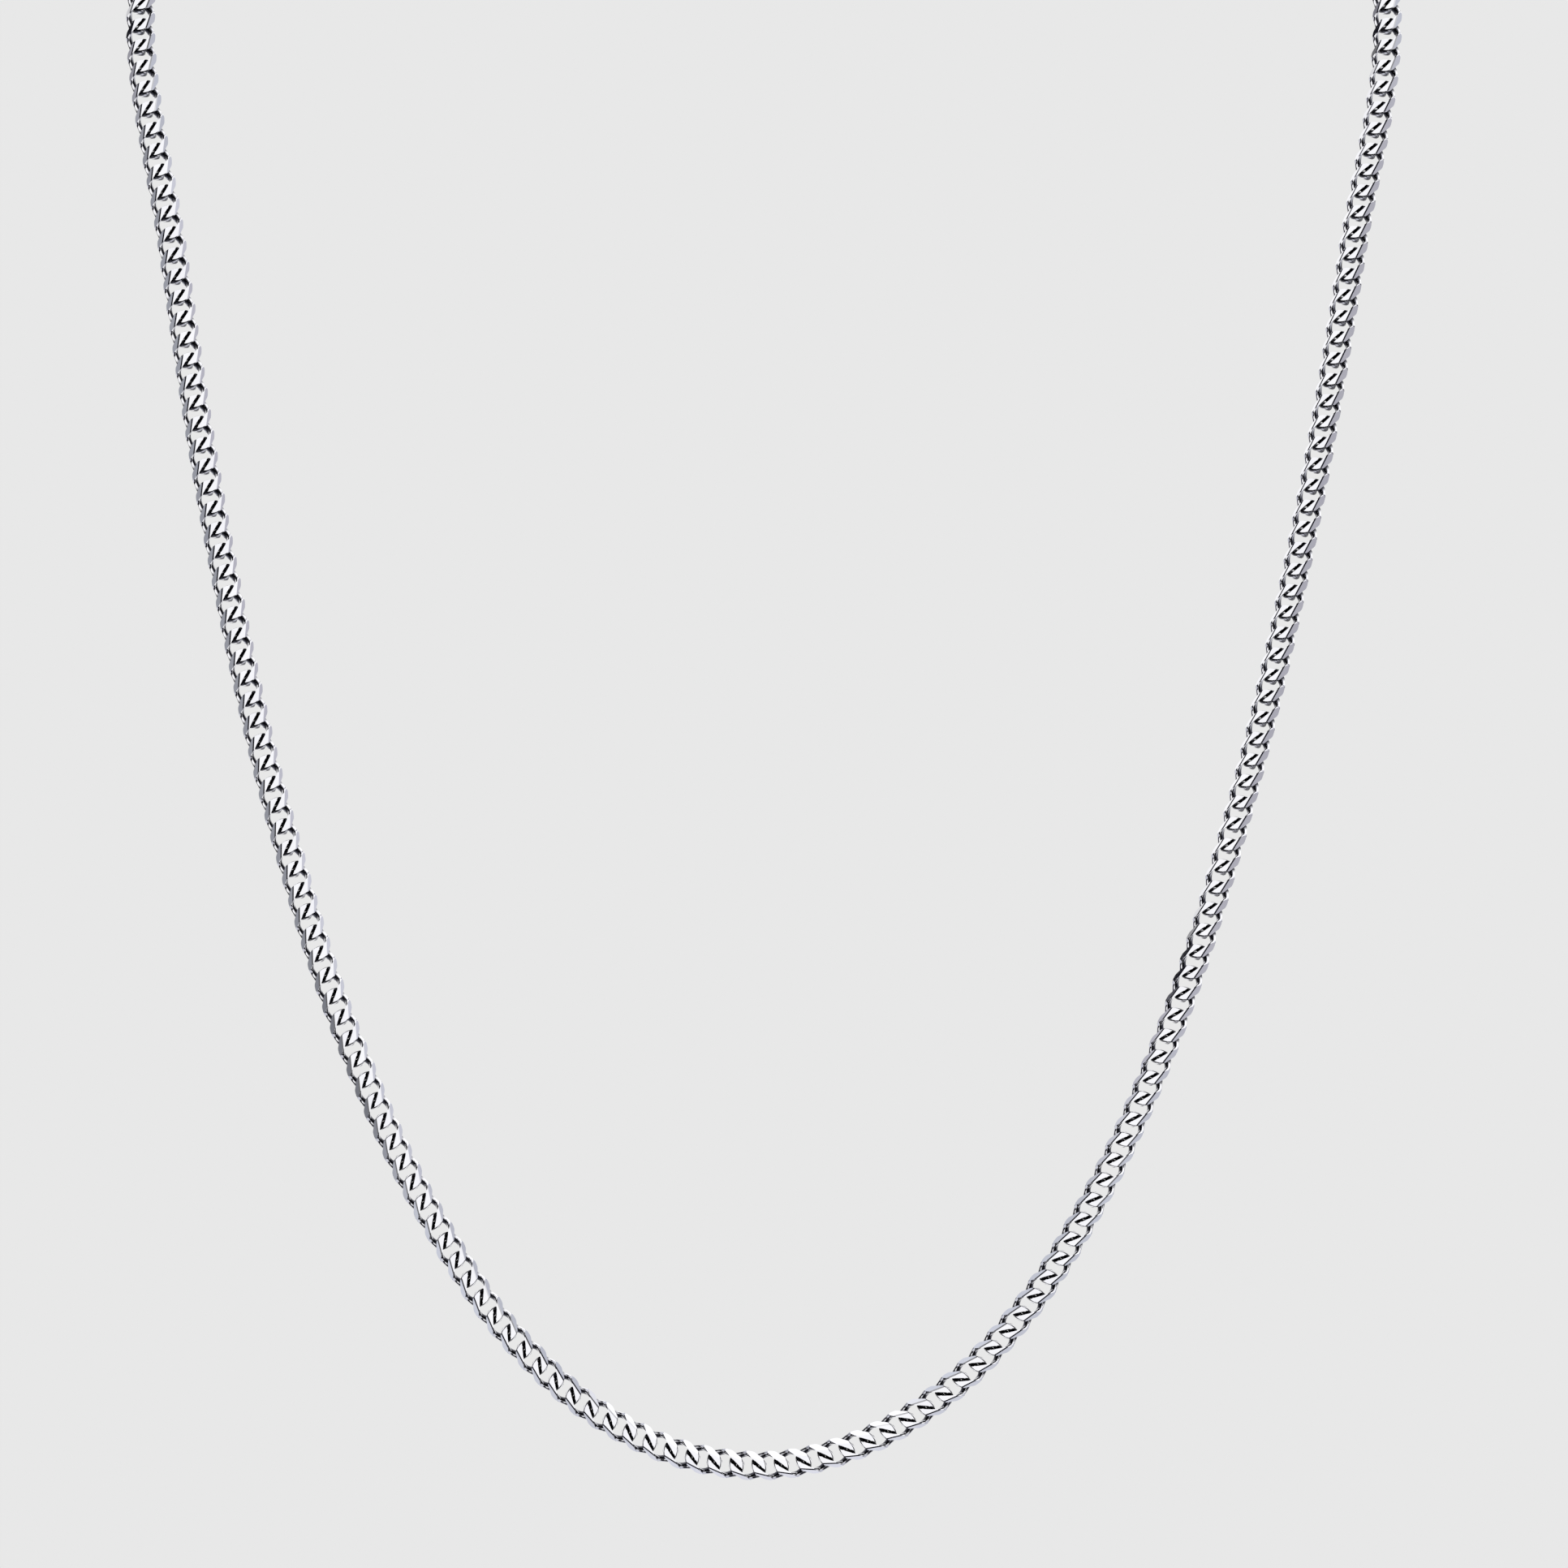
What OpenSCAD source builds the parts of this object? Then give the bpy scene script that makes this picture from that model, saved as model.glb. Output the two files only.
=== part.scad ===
// Neck chain of flat curb links, seen from the front hanging in a U.
// The origin is at the nape, where the chain rests on the neck.
// X is to the right, Z is up and the front looks along -Y.

/* [Links] */
// Distance from one link to the next along the chain.
link_pitch = 2.34; // [2.2:0.01:2.5]
// Thickness of the chain between its flat faces.
chain_t = 1.5; // [1.2:0.05:1.8]
// Twist of a link over one pitch, in degrees.
link_twist = 80; // [70:1:92]
// Turn of each link in the chain's plane, in degrees.
link_yaw = -7; // [-12:1:0]
// Half the wire's thickness at a link's ends.
wire_end = 0.39; // [0.3:0.005:0.42]
// Half the wire's thickness along a link's sides.
wire_side = 0.388; // [0.3:0.005:0.42]
// Half the wire's breadth along a link's sides.
wire_broad = 0.52; // [0.35:0.005:0.55]
// Distance of the slanted diamond cuts from a link's middle.
cut_reach = 1.42; // [1.3:0.01:1.7]

/* [Clasp] */
// Diameter of the clasp's barrel.
barrel_d = 3.6; // [3:0.1:5]
// Length of the barrel's straight part.
barrel_l = 4.6; // [3:0.1:6]
// Diameter of the clasp's eyes, at the middle of their wire.
eye_d = 2.4; // [2.2:0.05:3]
// Thickness of the eyes' wire.
eye_wire = 0.75; // [0.6:0.05:0.9]

/* [Hidden] */
half_links = 117;
shown_links = 77;
// Slant of the diamond cuts: lift from the edge and turn toward a link's ends.
cut_lift = 30;
cut_turn = 8;

// Corners of half a link, from one end to the other: along the chain, out from its axis.
link_rows = [[1.593, 0.48], [1.093, 1.15], [0, 1.245], [-1.093, 1.15], [-1.593, 0.48]];
wire_sides = 5;
wire_roll = 6;

// Stations of the chain's middle line from the nape round the left, the front and the right.
// Columns: x, y (depth), z above the lowest point.
back_rows = [
    [14.6, 64.1, 198.3],
    [28.7, 60.4, 195.9],
    [41.4, 54.9, 191.2],
    [52.2, 48.1, 183.9],
    [60.3, 40.9, 174.0]
];
front_rows = [
    [-65.1, 30.4, 152.7],
    [-61.7, 21.2, 126.9],
    [-57.0, 12.0, 97.3],
    [-50.5, 4.3, 68.0],
    [-43.0, 0.5, 44.2],
    [-34.6, 0, 26.1],
    [-26.1, 0, 13.5],
    [-17.2, 0, 5.5],
    [-8.3, 0, 1.2],
    [1.3, 0, 0.1],
    [10.8, 0, 2.6],
    [19.3, 0, 7.9],
    [27.6, 0, 16.7],
    [35.0, 0, 28.7],
    [42.3, 0.6, 45.1],
    [49.5, 4.3, 67.9],
    [56.4, 12.0, 97.1],
    [61.6, 21.2, 126.7],
    [65.3, 30.4, 152.7]
];
nape = [0, 65.4, 199.0];
stations = concat(
    [nape],
    [for (r = back_rows) [-r[0], r[1], r[2]]],
    front_rows,
    [for (i = [4 : -1 : 0]) back_rows[i]],
    [nape]
);

// Direction in which the chain's flat face looks, by distance from the lowest point.
// Columns: distance, outward, back, up.
face_rows = [
    [0, 0, -1, 0],
    [150, 0, -1, 0.2],
    [182, 0.2, -0.92, 0.4],
    [208, 0.7, -0.25, 0.7],
    [238, 0.5, 0.5, 0.75],
    [280, 0, 0.88, 0.45]
];
// Roll of the links about the chain's line, by distance from the lowest point.
// Columns: distance (left is negative), degrees.
roll_rows = [
    [-240, 0],
    [-180, -8],
    [-110, -8],
    [-60, -2],
    [0, 4],
    [40, 2],
    [90, -10],
    [180, -10],
    [240, -6]
];

function unit(v) = v / norm(v);

// Smooth curve through the stations.
last = len(stations) - 1;
function station(i) = i < 0 ? stations[last - 1] : i > last ? stations[1] : stations[i];
function slope(i) =
    let (a = station(i - 1), b = station(i), c = station(i + 1), p = norm(b - a), q = norm(c - b))
    ((b - a) / p * q + (c - b) / q * p) / (p + q);
function spot(u) =
    let (
        i = min(floor(u), last - 1),
        t = u - i,
        a = stations[i],
        b = stations[i + 1],
        d = norm(b - a)
    )
    (2 * t * t * t - 3 * t * t + 1) * a + (t * t * t - 2 * t * t + t) * d * slope(i)
    + (3 * t * t - 2 * t * t * t) * b + (t * t * t - t * t) * d * slope(i + 1);
steps = 24;
dots = [for (k = [0 : last * steps]) spot(k / steps)];
run = [for (k = 0, s = 0; k < len(dots); s = s + (k + 1 < len(dots) ? norm(dots[k + 1] - dots[k]) : 0), k = k + 1) s];
// Distance along the chain is counted from half way, at the lowest point.
half_run = run[len(run) - 1] / 2;

u_rows = [for (k = [0 : len(run) - 1]) [(run[k] - half_run), k / steps]];
function at(s) = spot(lookup(s, u_rows)) - nape;

function face(s) =
    let (a = abs(s), g = s < 0 ? -1 : 1)
    [
        g * lookup(a, [for (r = face_rows) [r[0], r[1]]]),
        lookup(a, [for (r = face_rows) [r[0], r[2]]]),
        lookup(a, [for (r = face_rows) [r[0], r[3]]])
    ];

// Axes of the chain at distance s: along it, toward the inner edge, out of its face.
function axes(s) =
    let (
        t = unit(at(s + 0.8) - at(s - 0.8)),
        f = face(s),
        z0 = unit(f - (f * t) * t),
        y0 = cross(z0, t),
        r = lookup(s, roll_rows)
    )
    [t, cos(r) * y0 + sin(r) * z0, cos(r) * z0 - sin(r) * y0];
function placed(p, s, m) = at(s) + p[0] * m[0] + p[1] * m[1] + p[2] * m[2];

// One link: its wire runs round the corners and is cut flat by six planes.
function swung(p) =
    let (a = link_yaw)
    [p[0] * cos(a) - p[1] * sin(a), p[0] * sin(a) + p[1] * cos(a), p[2]];
function corner(r, side) =
    let (a = link_twist * r[0] / link_pitch)
    [r[0], side * r[1] * cos(a), side * r[1] * sin(a)];
rounds = len(link_rows);
ring_n = 2 * rounds;
function row_of(i) = i < rounds ? link_rows[i] : link_rows[ring_n - 1 - i];
function centre(i) = let (k = (i + ring_n) % ring_n) corner(row_of(k), k < rounds ? 1 : -1);
cut_planes = concat(
    [[[0, 0, 1], chain_t / 2], [[0, 0, -1], chain_t / 2]],
    [
        for (s = [[1, 1, 1], [-1, -1, 1], [-1, 1, -1], [1, -1, -1]])
            [
                swung([
                    s[0] * sin(cut_turn),
                    s[1] * cos(cut_turn) * cos(cut_lift),
                    s[2] * cos(cut_turn) * sin(cut_lift)
                ]),
                cut_reach
            ]
    ]
);
// Share of the way from c along v that stays inside every cut.
function share(c, v) =
    min([
        for (q = cut_planes)
            let (g = q[0] * v, s = q[0] * c)
            (g > 0.000001 && s + g > q[1]) ? max((q[1] - s) / g, 0.05) : 1
    ]);
function wire_ring(i) =
    let (
        r = row_of(i),
        a = link_twist * r[0] / link_pitch,
        t = unit(centre(i + 1) - centre(i - 1)),
        b0 = [0, -sin(a), cos(a)],
        b = unit(b0 - (b0 * t) * t),
        o = cross(t, b),
        f = min(r[1] / link_rows[2][1], 1),
        thick = wire_end + (wire_side - wire_end) * f,
        broad = wire_end + (wire_broad - wire_end) * f,
        c = swung(centre(i))
    )
    [
        for (j = [0 : wire_sides - 1])
            let (
                w = 360 * (j + 0.5) / wire_sides + wire_roll,
                v = swung(o * thick * cos(w) + b * broad * sin(w))
            )
            c + v * share(c, v)
    ];
link_points = [for (i = [0 : ring_n - 1]) each wire_ring(i)];
link_faces = [
    for (i = [0 : ring_n - 1], j = [0 : wire_sides - 1])
        let (
            a = i * wire_sides + j,
            b = i * wire_sides + (j + 1) % wire_sides,
            c = ((i + 1) % ring_n) * wire_sides + (j + 1) % wire_sides,
            d = ((i + 1) % ring_n) * wire_sides + j
        )
        each [[a, b, c], [a, c, d]]
];
link_size = len(link_points);

function link_at(k) = (k + 0.5) * link_pitch;
function links_points(ks) = [for (k = ks) let (s = link_at(k), m = axes(s)) for (p = link_points) placed(p, s, m)];
function links_faces(n, first) = [for (k = [0 : n - 1]) for (f = link_faces) f + [1, 1, 1] * (first + k * link_size)];

module links(ks) {
    polyhedron(points = links_points(ks), faces = links_faces(len(ks), 0), convexity = 10);
}

// A hidden stretch: a flat tube of the chain's size, with one real link at the clasp.
tube_rings = 12;
tube_sides = 8;
tube_wide = 1.5;
tube_thick = 0.75;
function tube_ring(s) =
    let (m = axes(s))
    [for (j = [0 : tube_sides - 1]) let (w = -45 * j - 22.5) placed([0, tube_wide * cos(w), tube_thick * sin(w)], s, m)];
module stretch(side) {
    near = (shown_links + 0.5) * link_pitch - link_pitch / 2 + 1.3;
    far = link_at(half_links - 2) + 0.2;
    ks = [side > 0 ? half_links - 1 : -half_links];
    ss = [for (i = [0 : tube_rings - 1]) let (s = near + (far - near) * i / (tube_rings - 1)) side > 0 ? s : -s];
    rings = side > 0 ? ss : [for (i = [tube_rings - 1 : -1 : 0]) ss[i]];
    n = tube_sides;
    tube_points = [for (s = rings) each tube_ring(s)];
    tube_faces = concat(
        [[for (j = [n - 1 : -1 : 0]) j]],
        [
            for (i = [0 : tube_rings - 2], j = [0 : n - 1])
                let (a = i * n + j, b = i * n + (j + 1) % n, c = b + n, d = a + n)
                each [[a, b, c], [a, c, d]]
        ],
        [[for (j = [0 : n - 1]) (tube_rings - 1) * n + j]]
    );
    polyhedron(
        points = concat(tube_points, links_points(ks)),
        faces = concat(tube_faces, links_faces(1, len(tube_points))),
        convexity = 6
    );
}

module chain_left() {
    color([0.80, 0.80, 0.82]) links([for (k = [-shown_links : -1]) k]);
}

module chain_right() {
    color([0.80, 0.80, 0.82]) links([for (k = [0 : shown_links - 1]) k]);
}

module chain_back_left() {
    color([0.80, 0.80, 0.82]) stretch(-1);
}

module chain_back_right() {
    color([0.80, 0.80, 0.82]) stretch(1);
}

// The clasp: a closed barrel with a ring at each end for the last links.
eye_gap = 1.85;
module eye(side) {
    s = link_at(side > 0 ? half_links - 1 : -half_links);
    m = axes(s);
    lay = link_twist * link_rows[0][0] / link_pitch;
    turn = cos(lay) * m[1] + side * sin(lay) * m[2];
    translate(placed([side * eye_gap, 0, 0], s, m)) rotate([0, acos(turn[2]), atan2(turn[1], turn[0])])
        rotate_extrude($fn = 72) translate([eye_d / 2, 0]) circle(d = eye_wire, $fn = 36);
}
module barrel() {
    r = barrel_d / 2;
    h = barrel_l / 2;
    rotate([0, 90, 0]) rotate_extrude($fn = 72) polygon([
        [0, -h - 0.9], [0.7, -h - 0.9], [r - 0.35, -h], [r, -h + 0.5],
        [r, h - 0.5], [r - 0.35, h], [0.7, h + 0.9], [0, h + 0.9]
    ]);
}
module clasp() {
    color([0.80, 0.80, 0.82]) {
        barrel();
        eye(1);
        eye(-1);
    }
}

chain_left();
chain_right();
chain_back_left();
chain_back_right();
clasp();
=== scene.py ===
"""Polished curb link neck chain hanging in a U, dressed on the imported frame.

Lengths in the tables are in millimetres and become metres on the way into the scene.
The origin is at the nape, the front looks along -Y and Z is up.
"""
import math

import bmesh
import bpy
import numpy as np
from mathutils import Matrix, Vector


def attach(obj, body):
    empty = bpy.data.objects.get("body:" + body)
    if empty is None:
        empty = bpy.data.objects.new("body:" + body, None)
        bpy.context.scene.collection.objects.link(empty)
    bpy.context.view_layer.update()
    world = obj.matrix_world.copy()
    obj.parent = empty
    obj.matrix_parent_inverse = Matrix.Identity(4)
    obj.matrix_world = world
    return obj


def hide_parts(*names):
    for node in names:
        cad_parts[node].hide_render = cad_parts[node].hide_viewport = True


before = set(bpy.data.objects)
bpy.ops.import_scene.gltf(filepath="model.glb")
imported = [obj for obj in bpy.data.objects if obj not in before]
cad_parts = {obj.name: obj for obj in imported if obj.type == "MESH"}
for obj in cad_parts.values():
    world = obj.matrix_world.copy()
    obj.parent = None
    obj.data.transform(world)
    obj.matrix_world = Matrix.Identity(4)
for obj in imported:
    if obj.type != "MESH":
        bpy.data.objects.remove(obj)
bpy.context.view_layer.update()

MM = 0.001

# The link: its middle line, the section of its wire, the gap at its ends and its cuts.
PITCH = 2.34
CHAIN_T = 1.5
LINK_TWIST = 74.0
LINK_YAW = -7.0
LINK_HALF_LENGTH = 1.56
LINK_HALF_WIDTH = 1.225
LINK_SQUARENESS = 2.7
END_THICK = 0.42
END_BROAD = 0.82
SIDE_THICK = 0.30
SIDE_BROAD = 0.60
INNER_BROAD = 0.37
INNER_FADE = 0.35
SMALLEST_REACH = 0.02
END_SQUARENESS = 3.6
SIDE_SQUARENESS = 2.3
GAP_FACE = 0.38
GAP_MIDDLE = 0.03
GAP_TURN = 54.0
GAP_REACH = 0.85
GAP_STARTS = 0.25
GAP_FULL = 0.55
GAP_SIDE_SHARE = 0.4
SHOULDER_STARTS = 0.1
SHOULDER_FULL = 0.75
CUT_LIFT = 30.0
CUT_TURN = 8.0
CUT_REACH = 1.31
EDGE_DEPTH = 0.046
# Widest smooth edge in degrees, by how many of its two faces are cut.
SMOOTH_ANGLES = (40, 0, 3)
RINGS = 52
SIDES = 24
STEPS = 12
HALF_LINKS = 117
SHOWN_LINKS = 77

# Painted shade on the wire, standing in for dark reflections, by the cosine of the angle from its outer
# side: dark, bright.
SIDE_PAINTED_SHADE = (-0.9, -0.55)
TIP_PAINTED_SHADE = (0.92, 1.0)
# Where the tips start and are full, by distance from the link's middle.
TIP_STARTS = 0.7
TIP_FULL = 1.2

# Stations of the chain's middle line: x, y (depth), z above the lowest point.
BACK_ROWS = [
    (14.6, 64.1, 198.3),
    (28.7, 60.4, 195.9),
    (41.4, 54.9, 191.2),
    (52.2, 48.1, 183.9),
    (60.3, 40.9, 174.0),
]
FRONT_ROWS = [
    (-65.1, 30.4, 152.7),
    (-61.7, 21.2, 126.9),
    (-57.0, 12.0, 97.3),
    (-50.5, 4.3, 68.0),
    (-43.0, 0.5, 44.2),
    (-34.6, 0.0, 26.1),
    (-26.1, 0.0, 13.5),
    (-17.2, 0.0, 5.5),
    (-8.3, 0.0, 1.2),
    (1.3, 0.0, 0.1),
    (10.8, 0.0, 2.6),
    (19.3, 0.0, 7.9),
    (27.6, 0.0, 16.7),
    (35.0, 0.0, 28.7),
    (42.3, 0.6, 45.1),
    (49.5, 4.3, 67.9),
    (56.4, 12.0, 97.1),
    (61.6, 21.2, 126.7),
    (65.3, 30.4, 152.7),
]
NAPE = (0.0, 65.4, 199.0)

# Where the flat face looks, by distance from the lowest point: outward, back, up.
FACE_ROWS = [
    (0, 0, -1, 0),
    (150, 0, -1, 0.2),
    (182, 0.2, -0.92, 0.4),
    (208, 0.7, -0.25, 0.7),
    (238, 0.5, 0.5, 0.75),
    (280, 0, 0.88, 0.45),
]
# Roll of the links about the chain's line, by distance (left is negative), in degrees.
ROLL_ROWS = [
    (-240, 0),
    (-180, -8),
    (-110, -8),
    (-60, -2),
    (0, 4),
    (40, 2),
    (90, -10),
    (180, -10),
    (240, -6),
]


def smooth(a, b, v):
    t = min(max((v - a) / (b - a), 0), 1)
    return t * t * (3 - 2 * t)


def unit(v):
    return v / np.linalg.norm(v)


def column(rows, s, k):
    return float(np.interp(s, [r[0] for r in rows], [r[k] for r in rows]))


class Route:
    """Smooth closed curve through the stations, measured from half way, at the lowest point."""

    def __init__(self):
        left = [(-x, y, z) for x, y, z in BACK_ROWS]
        rows = [NAPE] + left + FRONT_ROWS + BACK_ROWS[::-1] + [NAPE]
        self.p = np.array(rows, float)
        n = len(rows)
        ends = [self.p[n - 2]] + list(self.p) + [self.p[1]]
        self.slope = []
        for a, b, c in zip(ends, ends[1:], ends[2:]):
            d, e = np.linalg.norm(b - a), np.linalg.norm(c - b)
            self.slope.append(((b - a) / d * e + (c - b) / e * d) / (d + e))
        self.u = np.linspace(0, n - 1, 24 * (n - 1) + 1)
        dots = np.array([self.spot(u) for u in self.u])
        self.run = np.concatenate([[0], np.cumsum(np.linalg.norm(np.diff(dots, axis=0), axis=1))])
        self.half = self.run[-1] / 2

    def spot(self, u):
        i = min(int(u), len(self.p) - 2)
        t = u - i
        a, b = self.p[i], self.p[i + 1]
        d = np.linalg.norm(b - a)
        near = (2 * t**3 - 3 * t**2 + 1) * a + (t**3 - 2 * t**2 + t) * d * self.slope[i]
        return near + (3 * t**2 - 2 * t**3) * b + (t**3 - t**2) * d * self.slope[i + 1]

    def at(self, s):
        return self.spot(float(np.interp(s + self.half, self.run, self.u))) - np.array(NAPE)

    def axes(self, s):
        """Along the chain, toward its inner edge, out of its face."""
        side = -1 if s < 0 else 1
        a = abs(s)
        along = unit(self.at(s + 0.8) - self.at(s - 0.8))
        f = np.array([side * column(FACE_ROWS, a, 1), column(FACE_ROWS, a, 2), column(FACE_ROWS, a, 3)])
        out = unit(f - (f @ along) * along)
        inner = np.cross(out, along)
        r = math.radians(column(ROLL_ROWS, s, 1))
        return np.array([
            along,
            math.cos(r) * inner + math.sin(r) * out,
            math.cos(r) * out - math.sin(r) * inner,
        ])


route = Route()


def swung(v):
    """Turned by the link's yaw in the chain's plane."""
    a = math.radians(LINK_YAW)
    return np.array([v[0] * math.cos(a) - v[1] * math.sin(a), v[0] * math.sin(a) + v[1] * math.cos(a), v[2]])


def wire_centre(t):
    """Point of the wire's middle line, its lay angle and its share of the half width."""
    c, s = math.cos(t), math.sin(t)
    x = LINK_HALF_LENGTH * math.copysign(abs(c) ** (2 / LINK_SQUARENESS), c)
    h = LINK_HALF_WIDTH * math.copysign(abs(s) ** (2 / LINK_SQUARENESS), s)
    lay = math.radians(LINK_TWIST) * x / PITCH
    return np.array([x, h * math.cos(lay), h * math.sin(lay)]), lay, abs(h) / LINK_HALF_WIDTH


def wire_stations():
    """Evenly spaced parameters round the wire's middle line."""
    ts = np.linspace(0, 2 * math.pi, 721)
    dots = np.array([wire_centre(t)[0] for t in ts])
    run = np.concatenate([[0], np.cumsum(np.linalg.norm(np.diff(dots, axis=0), axis=1))])
    return np.interp((np.arange(RINGS) + 0.5) / RINGS * run[-1], run, ts)


def cut_planes():
    """Normal and reach of the two flats, the four diamond cuts and the narrow edges between them."""
    turn, lift = math.radians(CUT_TURN), math.radians(CUT_LIFT)
    n = (math.sin(turn), math.cos(turn) * math.cos(lift), math.cos(turn) * math.sin(lift))
    cuts = [(np.array([0, 0, 1.0]), CHAIN_T / 2), (np.array([0, 0, -1.0]), CHAIN_T / 2)]
    for signs in ((1, 1, 1), (-1, -1, 1), (-1, 1, -1), (1, -1, -1)):
        cut = swung([a * b for a, b in zip(signs, n)])
        between = cut + np.array([0, 0, signs[2]])
        size = np.linalg.norm(between)
        cuts.append((cut, CUT_REACH))
        cuts.append((between / size, (CUT_REACH + CHAIN_T / 2) / size - EDGE_DEPTH))
    return cuts


def clear_of_neighbour(v):
    """Whether a point keeps to its side of the slanting gap that turns with the depth."""
    side = 1 if v[0] > 0 else -1
    x, y, z = side * v[0] - PITCH / 2, side * v[1], v[2]
    deep = min(max(z / (CHAIN_T / 2), -1), 1)
    a = math.radians(GAP_TURN) * deep
    along = math.cos(a) * y - math.sin(a) * x
    widening = max(deep * deep, GAP_SIDE_SHARE * min(abs(along) / GAP_REACH, 1) ** 2)
    half = (GAP_MIDDLE + (GAP_FACE - GAP_MIDDLE) * widening) / 2
    if abs(along) < GAP_REACH:
        return math.cos(a) * x + math.sin(a) * y >= half
    shoulder = smooth(PITCH / 2 - SHOULDER_STARTS, PITCH / 2 - SHOULDER_FULL, side * v[0])
    return math.copysign(1, along) * z >= half - shoulder


class Section:
    """Cross-section of the wire: how far it reaches in each direction, and what limits it there."""

    def __init__(self, t):
        c, lay, f = wire_centre(t)
        along = unit(wire_centre(t + 0.001)[0] - wire_centre(t - 0.001)[0])
        b = np.array([0, -math.sin(lay), math.cos(lay)])
        b = unit(b - (b @ along) * along)
        self.across, self.up, self.centre = swung(np.cross(along, b)), swung(b), swung(c)
        self.hold = smooth(GAP_STARTS, GAP_FULL, abs(c[0]))
        self.squareness = END_SQUARENESS + (SIDE_SQUARENESS - END_SQUARENESS) * f
        self.thick = END_THICK + (SIDE_THICK - END_THICK) * f
        broad = END_BROAD + (SIDE_BROAD - END_BROAD) * f
        inner = broad + (INNER_BROAD - broad) * smooth(0, INNER_FADE, abs(c[2]))
        self.broad = (broad, inner) if c[2] >= 0 else (inner, broad)

    def limit(self, w):
        """How far the section reaches in direction w, and whether the gap limits it there."""
        u, v = math.cos(w), math.sin(w)
        way = self.across * u + self.up * v
        broad = self.broad[0 if v >= 0 else 1]
        k = self.squareness
        far = (abs(u / self.thick) ** k + abs(v / broad) ** k) ** (-1 / k)
        if self.hold == 0:
            return far, False
        last = 0
        for step in range(1, STEPS + 1):
            if not clear_of_neighbour(self.centre + way * far * step / STEPS):
                low, high = far * last / STEPS, far * step / STEPS
                for _ in range(STEPS):
                    mid = (low + high) / 2
                    if clear_of_neighbour(self.centre + way * mid):
                        low = mid
                    else:
                        high = mid
                return far + (low - far) * self.hold, True
            last = step
        return far, False

    def ring(self):
        """Points round the section, with the corners where the gap starts and ends among them."""
        ws = [2 * math.pi * j / SIDES for j in range(SIDES)]
        found = [self.limit(w) for w in ws]
        corner = [False] * SIDES
        for j in range(SIDES):
            k = (j + 1) % SIDES
            kinds = found[j][1], found[k][1]
            if kinds[0] == kinds[1]:
                continue
            low, high = 2 * math.pi * j / SIDES, 2 * math.pi * (j + 1) / SIDES
            for _ in range(STEPS):
                mid = (low + high) / 2
                if self.limit(mid)[1] == kinds[0]:
                    low = mid
                else:
                    high = mid
            near = j if (low * SIDES / 2 / math.pi) % 1 < 0.5 else k
            if corner[near]:
                near = k if near == j else j
            ws[near], corner[near] = low, True
        points = []
        for w in ws:
            way = self.across * math.cos(w) + self.up * math.sin(w)
            points.append(self.centre + way * max(self.limit(w)[0], SMALLEST_REACH))
        return points, ws, corner


def link_mesh():
    """One link: a twisted wire loop, cut flat front and back and along its four diamond cuts."""
    bm = bmesh.new()
    painted_shade_mask = bm.verts.layers.float.new("painted_shade_mask")
    rings, corners = [], []
    for t in wire_stations():
        section = Section(t)
        points, ws, corner = section.ring()
        ring = []
        tip = smooth(TIP_STARTS, TIP_FULL, abs(section.centre[0]))
        for point, w in zip(points, ws):
            v = bm.verts.new(point)
            c = math.cos(w)
            # Painted shade: near black on the wire's inner side and over the tips, apart from a narrow line
            # on their outer side; 1 keeps the silver's tone.
            v[painted_shade_mask] = (1 - tip) * smooth(*SIDE_PAINTED_SHADE, c) + tip * smooth(*TIP_PAINTED_SHADE, c)
            ring.append(v)
        rings.append(ring)
        corners.append(corner)
    for i in range(RINGS):
        k = (i + 1) % RINGS
        for j in range(SIDES):
            m = (j + 1) % SIDES
            a, b, c, d = rings[i][j], rings[k][j], rings[k][m], rings[i][m]
            if corners[i][j] + corners[k][m] >= corners[k][j] + corners[i][m]:
                threes = ((a, b, c), (a, c, d))
            else:
                threes = ((a, b, d), (b, c, d))
            for three in threes:
                bm.faces.new(three)
    bm.normal_update()
    flat = bm.faces.layers.int.new("flat")
    for normal, reach in cut_planes():
        normal = Vector(normal)
        cut = bmesh.ops.bisect_plane(
            bm,
            geom=bm.verts[:] + bm.edges[:] + bm.faces[:],
            dist=1e-5,
            plane_co=normal * reach,
            plane_no=normal,
            clear_outer=True,
        )
        edges = [e for e in cut["geom_cut"] if isinstance(e, bmesh.types.BMEdge)]
        made = bmesh.ops.holes_fill(bm, edges=edges, sides=0)
        for face in made["faces"]:
            face[flat] = 1
    bmesh.ops.triangulate(bm, faces=[f for f in bm.faces if len(f.verts) > 4])
    bm.normal_update()
    for face in bm.faces:
        face.smooth = True
    for edge in bm.edges:
        cut_sides = sum(f[flat] for f in edge.link_faces)
        limit = math.radians(SMOOTH_ANGLES[cut_sides])
        edge.smooth = edge.calc_face_angle(0) <= limit and cut_sides != 1
    # Painted shade mask per face corner: cut faces keep the silver's tone, and the wire takes its painted
    # shade.
    shade_mask = [1.0 if f[flat] else loop.vert[painted_shade_mask] for f in bm.faces for loop in f.loops]
    mesh = bpy.data.meshes.new("link")
    bm.to_mesh(mesh)
    bm.free()
    return mesh, shade_mask


def read(items, name, kind, width=1):
    out = np.empty(len(items) * width, kind)
    items.foreach_get(name, out)
    return out.reshape(-1, width) if width > 1 else out


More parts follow.
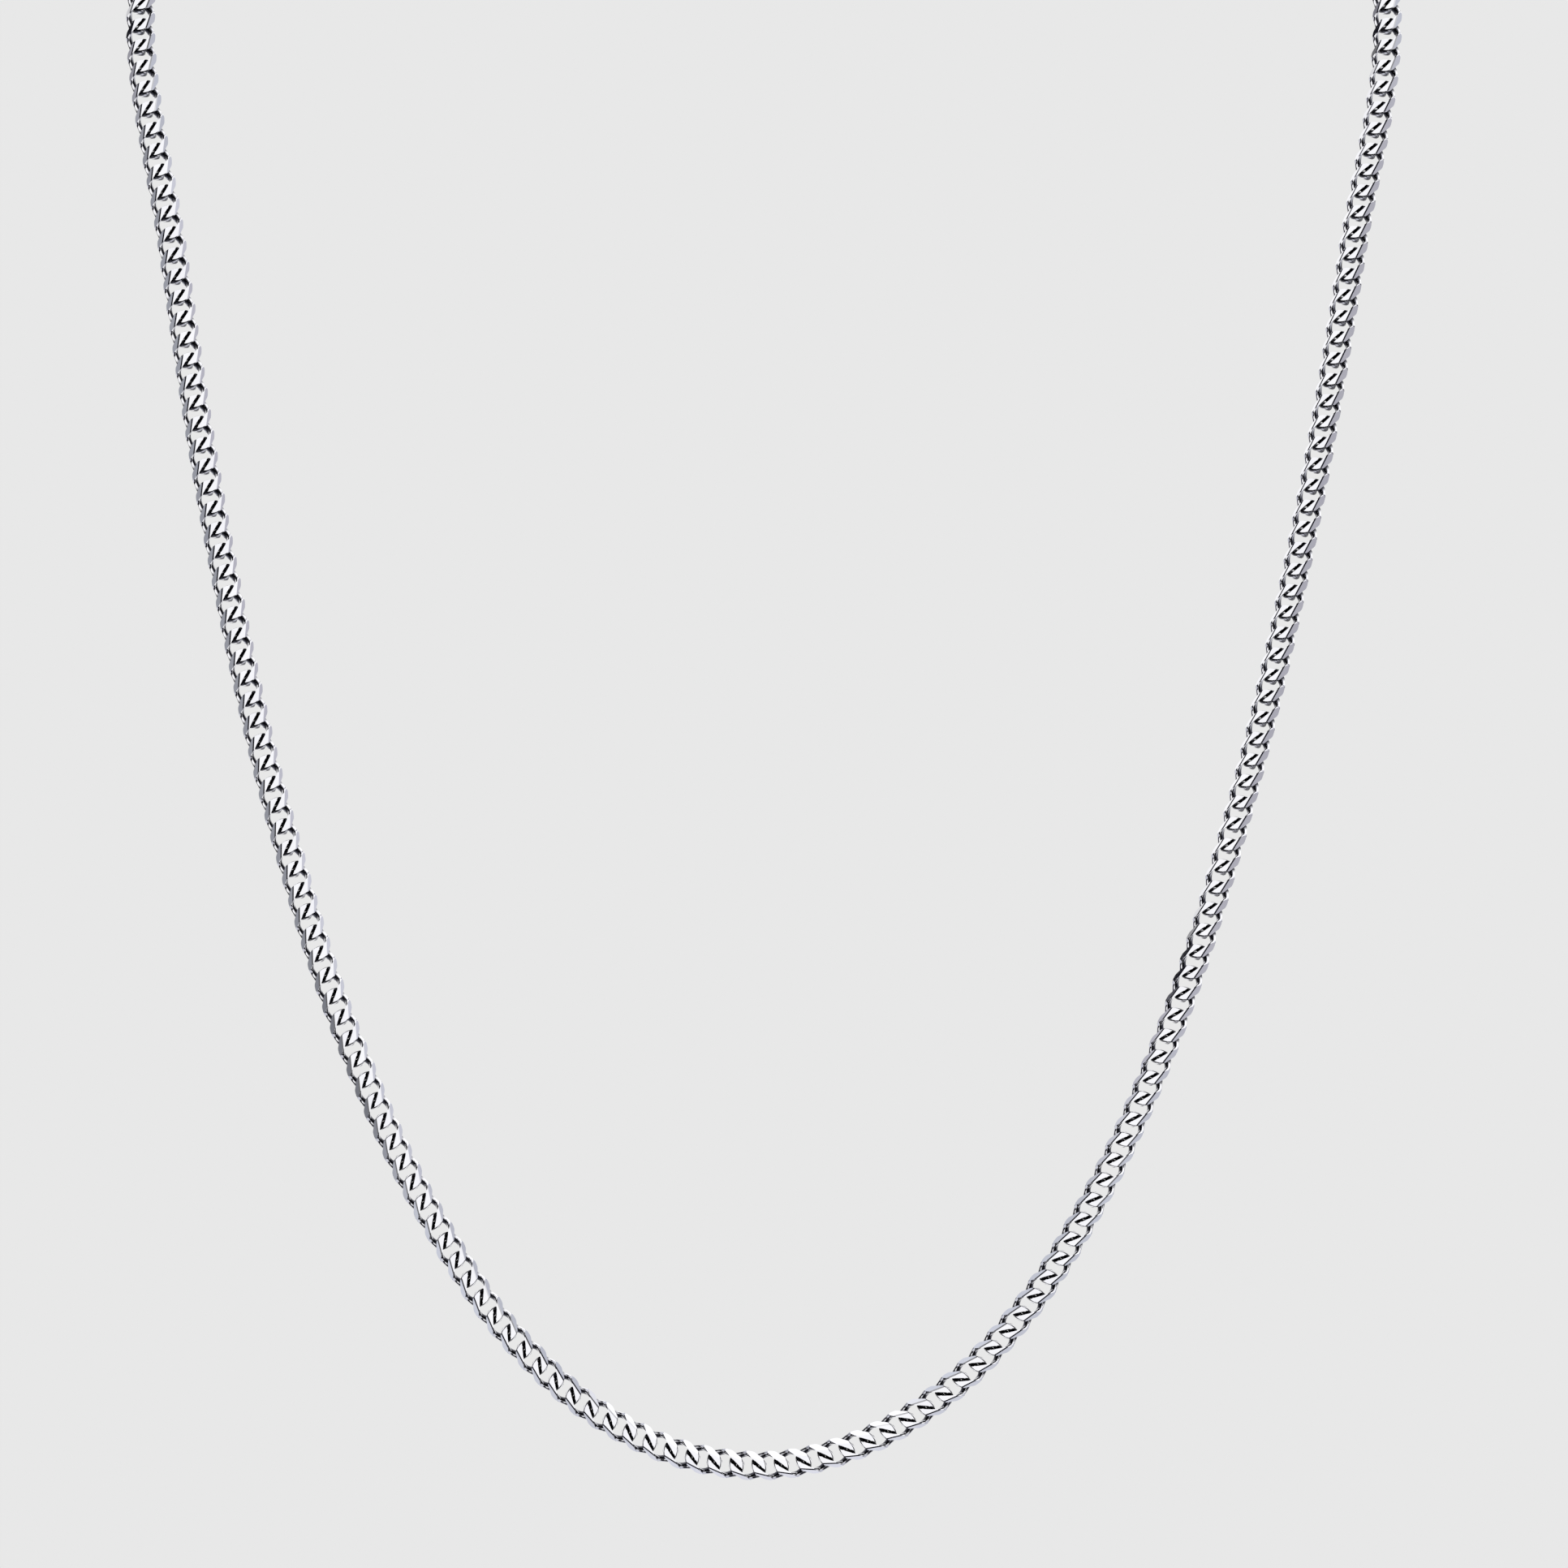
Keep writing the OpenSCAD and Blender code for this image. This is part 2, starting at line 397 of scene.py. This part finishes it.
def chain_piece(name, link, shade_mask, ks, *nodes):
    """The links ks as one body."""
    co = read(link.vertices, "co", np.float32, 3)
    ev = read(link.edges, "vertices", np.int32, 2)
    lv = read(link.loops, "vertex_index", np.int32)
    le = read(link.loops, "edge_index", np.int32)
    ps = read(link.polygons, "loop_start", np.int32)
    sharp = np.empty(len(link.edges), bool)
    link.attributes["sharp_edge"].data.foreach_get("value", sharp)
    verts, n = [], len(ks)
    for k in ks:
        s = (k + 0.5) * PITCH
        verts.append(co @ route.axes(s) + route.at(s))
    step = np.arange(n)
    mesh = bpy.data.meshes.new(name)
    mesh.vertices.add(n * len(co))
    mesh.vertices.foreach_set("co", (np.concatenate(verts) * MM).astype(np.float32).ravel())
    mesh.edges.add(n * len(ev))
    mesh.edges.foreach_set("vertices", (ev[None] + (step * len(co))[:, None, None]).astype(np.int32).ravel())
    mesh.loops.add(n * len(lv))
    mesh.loops.foreach_set("vertex_index", (lv[None] + (step * len(co))[:, None]).astype(np.int32).ravel())
    mesh.loops.foreach_set("edge_index", (le[None] + (step * len(ev))[:, None]).astype(np.int32).ravel())
    mesh.polygons.add(n * len(ps))
    mesh.polygons.foreach_set("loop_start", (ps[None] + (step * len(lv))[:, None]).astype(np.int32).ravel())
    mark = mesh.attributes.new("sharp_edge", "BOOLEAN", "EDGE")
    mark.data.foreach_set("value", np.tile(sharp, n))
    # The painted shade mask, which darkens the wire's colour in the material.
    mark = mesh.attributes.new("painted_shade_mask", "FLOAT", "CORNER")
    mark.data.foreach_set("value", np.tile(np.array(shade_mask, np.float32), n))
    mesh.update(calc_edges=False)
    mesh.validate()
    piece = bpy.data.objects.new(name, mesh)
    bpy.context.scene.collection.objects.link(piece)
    mesh.materials.append(silver)
    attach(piece, "root")
    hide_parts(*nodes)


def silver_material(name, with_painted_shade):
    """Polished silver: slow drifts of tone, fine polishing marks, a faint haze and, when asked, painted
    shade from the mesh's shade mask.
    """
    mat = bpy.data.materials.new(name)
    mat.use_nodes = True
    nodes, links = mat.node_tree.nodes, mat.node_tree.links
    nodes.clear()
    out = nodes.new("ShaderNodeOutputMaterial")
    bsdf = nodes.new("ShaderNodeBsdfPrincipled")
    links.new(bsdf.outputs["BSDF"], out.inputs["Surface"])
    bsdf.inputs["Metallic"].default_value = 1.0
    coord = nodes.new("ShaderNodeTexCoord")

    def noise(scale, detail, rough=0.5):
        tex = nodes.new("ShaderNodeTexNoise")
        tex.inputs["Scale"].default_value = scale
        tex.inputs["Detail"].default_value = detail
        tex.inputs["Roughness"].default_value = rough
        links.new(coord.outputs["Object"], tex.inputs["Vector"])
        return tex.outputs["Fac"]

    def ramp(value, stops):
        r = nodes.new("ShaderNodeValToRGB")
        links.new(value, r.inputs["Fac"])
        r.color_ramp.elements[0].position, r.color_ramp.elements[0].color = stops[0]
        r.color_ramp.elements[1].position, r.color_ramp.elements[1].color = stops[1]
        return r.outputs["Color"]

    def blend(kind, shade_mask, deep, bright):
        m = nodes.new("ShaderNodeMix")
        m.data_type = kind
        links.new(shade_mask, m.inputs["Factor"])
        m.inputs["A"].default_value = deep
        links.new(bright, m.inputs["B"])
        return m.outputs["Result"]

    tone = ramp(noise(220, 3), [(0.35, (0.90, 0.90, 0.925, 1)), (0.65, (0.955, 0.955, 0.965, 1))])
    haze = ramp(noise(1400, 4, 0.6), [(0.35, (0.035,) * 3 + (1,)), (0.70, (0.085,) * 3 + (1,))])
    # Painted shade: near-black base colour and a rougher surface where the shade mask is low, in place of
    # dark reflections on the wire's sides and tips.
    if with_painted_shade:
        mark = nodes.new("ShaderNodeAttribute")
        mark.attribute_name = "painted_shade_mask"
        tone = blend("RGBA", mark.outputs["Fac"], (0.05, 0.05, 0.065, 1), tone)
        haze = blend("FLOAT", mark.outputs["Fac"], 0.3, haze)
    links.new(tone, bsdf.inputs["Base Color"])
    links.new(haze, bsdf.inputs["Roughness"])
    bump = nodes.new("ShaderNodeBump")
    bump.inputs["Strength"].default_value = 0.05
    bump.inputs["Distance"].default_value = 0.00002
    links.new(noise(2600, 2), bump.inputs["Height"])
    links.new(bump.outputs["Normal"], bsdf.inputs["Normal"])
    return mat


silver = silver_material("cut_silver", True)
plain_silver = silver_material("plain_silver", False)
link, shade_mask = link_mesh()

chain_piece("links_left", link, shade_mask, range(-SHOWN_LINKS, 0), "chain_left")
chain_piece("links_right", link, shade_mask, range(0, SHOWN_LINKS), "chain_right")
chain_piece("links_back_left", link, shade_mask, range(-HALF_LINKS, -SHOWN_LINKS), "chain_back_left")
chain_piece("links_back_right", link, shade_mask, range(SHOWN_LINKS, HALF_LINKS), "chain_back_right")

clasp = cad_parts["clasp"]
for slot in clasp.material_slots:
    slot.material = plain_silver

# Camera at the photo's place: level, in front, with a long lens. The photo's scale is in pixels per
# millimetre, and the origin pixel is that of the stations' x and z of zero.
PX = 11.83
PHOTO = 1932
ORIGIN_PX = (940, 1806.5)
SENSOR = 36
DISTANCE = 6.0
centre_x = (PHOTO / 2 - ORIGIN_PX[0]) / PX
centre_z = (ORIGIN_PX[1] - PHOTO / 2) / PX - NAPE[2]
cam = bpy.data.cameras.new("camera")
cam.type = "PERSP"
cam.sensor_width = SENSOR
cam.lens = SENSOR * DISTANCE / (PHOTO / PX * MM)
cam.clip_start = 0.1
cam.clip_end = 100
eye = bpy.data.objects.new("camera", cam)
eye.location = (centre_x * MM, -NAPE[1] * MM - DISTANCE, centre_z * MM)
eye.rotation_euler = (math.radians(90), 0, 0)
bpy.context.scene.collection.objects.link(eye)
bpy.context.scene.camera = eye

# Plain pale floor, below the picture.
FLOOR_Z = -0.245
FLOOR_HALF = 0.6
mesh = bpy.data.meshes.new("floor")
mesh.from_pydata(
    [(FLOOR_HALF * x, FLOOR_HALF * y, FLOOR_Z) for x, y in ((-1, -1), (1, -1), (1, 1), (-1, 1))],
    [],
    [(0, 1, 2, 3)],
)
floor = bpy.data.objects.new("floor", mesh)
bpy.context.scene.collection.objects.link(floor)
pale = bpy.data.materials.new("pale_floor")
pale.use_nodes = True
surface = pale.node_tree.nodes["Principled BSDF"]
surface.inputs["Base Color"].default_value = (0.25, 0.25, 0.25, 1)
surface.inputs["Roughness"].default_value = 0.7
surface.inputs["Emission Color"].default_value = (1, 1, 1, 1)
surface.inputs["Emission Strength"].default_value = 0.6
mesh.materials.append(pale)
floor.visible_glossy = False

# Studio: white in front, overhead and right behind, black beside the camera, grey at the sides.
BACKDROP = 0.807
world = bpy.data.worlds.new("studio")
bpy.context.scene.world = world
world.use_nodes = True
nodes, links = world.node_tree.nodes, world.node_tree.links
nodes.clear()


def maths(kind, a, b=0.0, c=0.0, clamp=False):
    node = nodes.new("ShaderNodeMath")
    node.operation = kind
    node.use_clamp = clamp
    for k, value in enumerate((a, b, c)):
        if isinstance(value, (int, float)):
            node.inputs[k].default_value = value
        else:
            links.new(value, node.inputs[k])
    return node.outputs[0]


def table(value, rows):
    """Colour by position, from rows that start with the position."""
    node = nodes.new("ShaderNodeValToRGB")
    for k, row in enumerate(rows):
        stop = node.color_ramp.elements[k] if k < 2 else node.color_ramp.elements.new(row[0])
        stop.position = row[0]
        stop.color = row[1:] + (1,)
    links.new(value, node.inputs["Fac"])
    return node.outputs["Color"]


def mixed(share, base, other, kind="MIX"):
    node = nodes.new("ShaderNodeMix")
    node.data_type = "RGBA"
    node.blend_type = kind
    links.new(share, node.inputs["Factor"])
    links.new(base, node.inputs["A"])
    if isinstance(other, tuple):
        node.inputs["B"].default_value = other
    else:
        links.new(other, node.inputs["B"])
    return node.outputs["Result"]


def past(value, name):
    """Share from 0 at the start of a span to 1 at its end."""
    start, end = SPANS[name]
    return maths("MULTIPLY_ADD", value, 1 / (end - start), -start / (end - start), clamp=True)


def both(a, b):
    return maths("MULTIPLY", a, b)


BLACK = (0.01, 0.01, 0.016, 1)
WHITE = (1.0, 1.0, 1.02, 1)
TOP_WHITE = (1.15, 1.15, 1.17, 1)
RIGHT_SHADE = (0.84, 0.84, 0.85, 1)
# From in front of the chain (0) to behind it (1).
TENT_ROWS = [
    (0.190, 1.010, 1.010, 1.030),
    (0.240, 0.008, 0.008, 0.014),
    (0.460, 0.008, 0.008, 0.014),
    (0.500, 0.510, 0.505, 0.560),
    (0.600, 0.560, 0.555, 0.615),
    (0.730, 0.655, 0.680, 0.760),
    (0.775, 0.580, 0.595, 0.665),
    (0.805, 0.770, 0.780, 0.860),
    (0.830, 0.580, 0.575, 0.645),
    (0.855, 0.580, 0.575, 0.645),
    (0.865, 0.010, 0.010, 0.016),
    (0.885, 0.010, 0.010, 0.016),
    (0.900, 1.000, 1.000, 1.020),
]
# Shade on the left, from below (0) to above (1).
LEFT_ROWS = [
    (0.385, 1.00, 1.00, 1.00),
    (0.415, 0.65, 0.65, 0.65),
    (0.450, 0.30, 0.30, 0.30),
    (0.500, 0.30, 0.30, 0.30),
    (0.550, 0.45, 0.45, 0.45),
    (0.650, 0.50, 0.50, 0.50),
    (0.820, 0.80, 0.80, 0.80),
]
# Where each shade or light starts and is full: across and up from -1 to 1, depth from 0 to 1.
SPANS = {
    "left": (-0.45, -0.70),
    "right": (0.45, 0.70),
    "corner across": (-0.66, -0.76),
    "corner up": (0.50, 0.60),
    "flag across": (0.46, 0.54),
    "flag depth": (0.25, 0.20),
    "card across": (0.78, 0.86),
    "card depth": (0.47, 0.42),
    "card up": (0.08, 0.17),
    "top": (0.74, 0.80),
}
TOP_SLANT = 0.35

coord = nodes.new("ShaderNodeTexCoord")
split = nodes.new("ShaderNodeSeparateXYZ")
links.new(coord.outputs["Generated"], split.inputs["Vector"])
right, behind, up = split.outputs["X"], split.outputs["Y"], split.outputs["Z"]
depth = maths("MULTIPLY_ADD", behind, 0.5, 0.5)
height = maths("MULTIPLY_ADD", up, 0.5, 0.5)
colour = mixed(past(right, "left"), table(depth, TENT_ROWS), table(height, LEFT_ROWS), "MULTIPLY")
colour = mixed(past(right, "right"), colour, RIGHT_SHADE, "MULTIPLY")
# A dark corner up on the left, a dark flag in front on the right and a pale card beside it.
colour = mixed(both(past(right, "corner across"), past(up, "corner up")), colour, BLACK)
colour = mixed(both(past(right, "flag across"), past(depth, "flag depth")), colour, BLACK)
card = both(past(right, "card across"), past(depth, "card depth"))
colour = mixed(both(card, past(up, "card up")), colour, WHITE)
# The top is white, a little further down on the right.
colour = mixed(past(maths("MULTIPLY_ADD", right, TOP_SLANT, up), "top"), colour, TOP_WHITE)

tent = nodes.new("ShaderNodeBackground")
links.new(colour, tent.inputs["Color"])
plain = nodes.new("ShaderNodeBackground")
plain.inputs["Color"].default_value = (BACKDROP, BACKDROP, BACKDROP, 1)
path = nodes.new("ShaderNodeLightPath")
mix = nodes.new("ShaderNodeMixShader")
links.new(path.outputs["Is Camera Ray"], mix.inputs["Fac"])
links.new(tent.outputs[0], mix.inputs[1])
links.new(plain.outputs[0], mix.inputs[2])
out = nodes.new("ShaderNodeOutputWorld")
links.new(mix.outputs[0], out.inputs["Surface"])
bpy.context.scene.view_settings.view_transform = "Standard"
